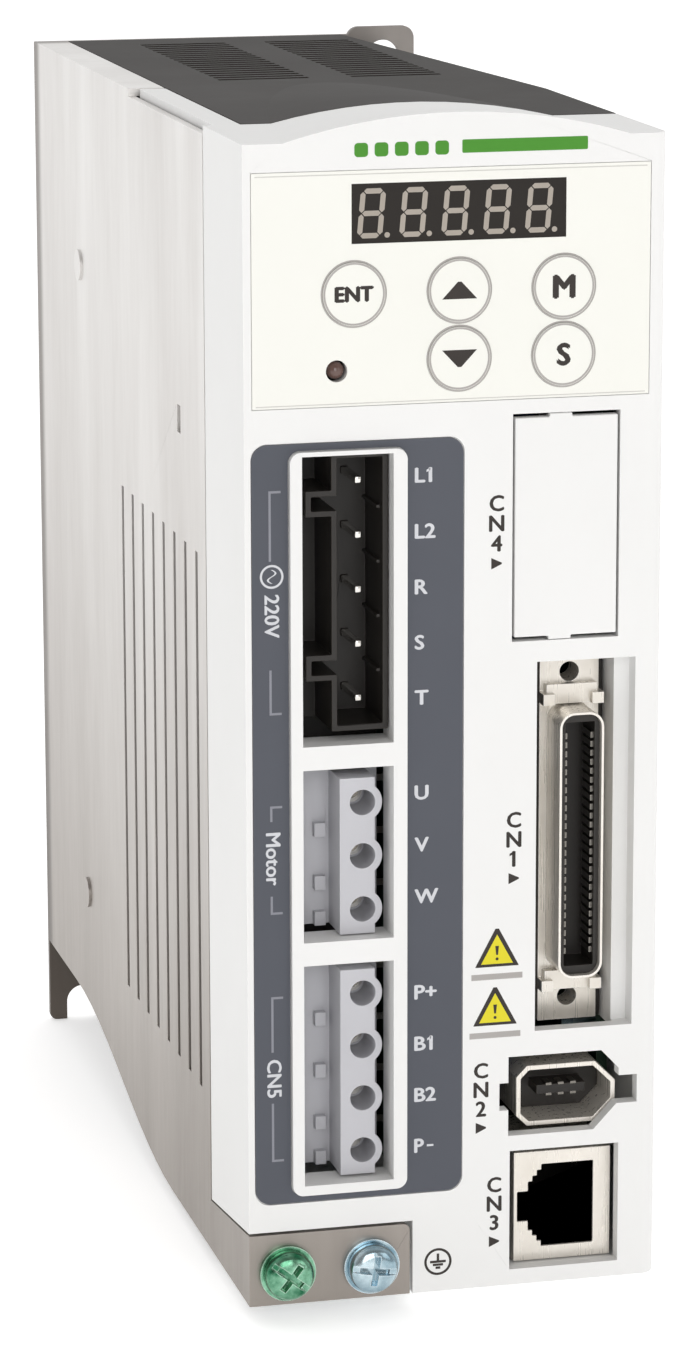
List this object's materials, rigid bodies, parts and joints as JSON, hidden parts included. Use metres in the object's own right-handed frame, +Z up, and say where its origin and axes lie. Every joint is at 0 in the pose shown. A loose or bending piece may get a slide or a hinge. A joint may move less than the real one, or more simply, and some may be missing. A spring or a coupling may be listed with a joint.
{
  "type": "servo drive",
  "caption": "Narrow book-style servo drive with a keypad, display, power terminals and signal sockets on its front and a sheet-metal side and back.",
  "frame": {"origin": "middle of the mounting face, in the plane of the chassis back plate", "axes": "+Z up, +Y from the front towards the cabinet wall, +X to the right seen from the front"},
  "size_m": [0.064, 0.1567, 0.169],
  "materials": {
    "zinc_sheet": "satin zinc-plated folded sheet",
    "zinc_fastener": "bright blue-zinc plating",
    "green_zinc": "green plated earth screw",
    "heat_sink_metal": "plain extruded aluminium",
    "black_resin": "black moulded resin",
    "dark_plastic": "fine grained near-black moulded plastic",
    "white_plastic": "white moulded plastic",
    "membrane": "cream polyester membrane",
    "slate_label": "slate grey printed film",
    "smoked_window": "smoked display film",
    "segment_block": "grey seven-segment display block",
    "lamp_lens": "unlit red lamp lens",
    "circuit_board": "green solder resist",
    "nickel_shell": "warm nickel plating",
    "contact_metal": "tinned contact metal",
    "pale_header": "pale grey moulded nylon",
    "capacitor_sleeve": "dark blue shrink sleeve",
    "winding_tape": "yellow winding tape",
    "copper_wire": "enamelled copper wire",
    "relay_case": "blue relay case",
    "ceramic": "unglazed white ceramic",
    "ribbon": "pale ribbon and header plastic"
  },
  "bodies": {
    "root": {"chassis": "zinc_sheet", "side_screws": "zinc_sheet", "heat_sink": "heat_sink_metal", "power_module": "black_resin", "rectifier": "black_resin", "housing": "dark_plastic", "front_cover": "white_plastic", "keypad_overlay": "membrane", "terminal_label": "slate_label", "display_window": "smoked_window", "led_display": "segment_block", "charge_lamp": "lamp_lens", "display_board": "circuit_board", "key_switches": "black_resin", "service_socket": "nickel_shell", "mains_header": "black_resin", "mains_pins": "contact_metal", "motor_header": "pale_header", "motor_contacts": "contact_metal", "brake_header": "pale_header", "brake_contacts": "contact_metal", "io_socket_shell": "nickel_shell", "io_socket_insert": "black_resin", "io_socket_contacts": "contact_metal", "encoder_socket_shell": "nickel_shell", "encoder_socket_insert": "black_resin", "network_socket_shell": "nickel_shell", "network_socket_insert": "black_resin", "network_socket_contacts": "contact_metal", "insulating_sheet": "black_resin", "control_board": "circuit_board", "processor": "black_resin", "power_board": "circuit_board", "bus_capacitors": "capacitor_sleeve", "transformer": "winding_tape", "choke": "copper_wire", "relay": "relay_case", "brake_resistor": "ceramic", "board_link": "ribbon", "display_cable": "ribbon", "standoffs": "zinc_fastener", "board_screws": "zinc_fastener", "earth_nuts": "zinc_fastener"},
    "key_enter": {"key_enter": "membrane"},
    "key_up": {"key_up": "membrane"},
    "key_mode": {"key_mode": "membrane"},
    "key_down": {"key_down": "membrane"},
    "key_set": {"key_set": "membrane"},
    "service_hatch": {"service_hatch": "white_plastic"},
    "earth_washer_left": {"earth_washer_left": "green_zinc"},
    "earth_screw_left": {"earth_screw_left": "green_zinc"},
    "earth_washer_right": {"earth_washer_right": "zinc_fastener"},
    "earth_screw_right": {"earth_screw_right": "zinc_fastener"}
  },
  "joints": [
    {"name": "key_enter_press", "type": "slide", "parent": "root", "child": "key_enter", "axis": [0, 1, 0], "range_m": [0, 0.0005], "stiffness_N_per_m": 2500, "springref_m": -0.0002},
    {"name": "key_up_press", "type": "slide", "parent": "root", "child": "key_up", "axis": [0, 1, 0], "range_m": [0, 0.0005], "stiffness_N_per_m": 2500, "springref_m": -0.0002},
    {"name": "key_mode_press", "type": "slide", "parent": "root", "child": "key_mode", "axis": [0, 1, 0], "range_m": [0, 0.0005], "stiffness_N_per_m": 2500, "springref_m": -0.0002},
    {"name": "key_down_press", "type": "slide", "parent": "root", "child": "key_down", "axis": [0, 1, 0], "range_m": [0, 0.0005], "stiffness_N_per_m": 2500, "springref_m": -0.0002},
    {"name": "key_set_press", "type": "slide", "parent": "root", "child": "key_set", "axis": [0, 1, 0], "range_m": [0, 0.0005], "stiffness_N_per_m": 2500, "springref_m": -0.0002},
    {"name": "hatch_pull", "type": "slide", "parent": "root", "child": "service_hatch", "axis": [0, -1, 0], "range_m": [0, 0.012]},
    {"name": "left_washer_slide", "type": "slide", "parent": "root", "child": "earth_washer_left", "axis": [0, -1, 0], "range_m": [0, 0.0021]},
    {"name": "left_screw_turn", "type": "hinge", "parent": "earth_washer_left", "child": "earth_screw_left", "pos_m": [-0.02435, -0.1535, -0.0767], "axis": [0, -1, 0], "range_deg": [0, 1088]},
    {"name": "right_washer_slide", "type": "slide", "parent": "root", "child": "earth_washer_right", "axis": [0, -1, 0], "range_m": [0, 0.0021]},
    {"name": "right_screw_turn", "type": "hinge", "parent": "earth_washer_right", "child": "earth_screw_right", "pos_m": [-0.01225, -0.1535, -0.0767], "axis": [0, -1, 0], "range_deg": [0, 1088]}
  ],
  "couplings": [
    {"joint": "left_screw_turn", "follows": "left_washer_slide", "rad_per_m": 8976},
    {"joint": "right_screw_turn", "follows": "right_washer_slide", "rad_per_m": 8976}
  ]
}
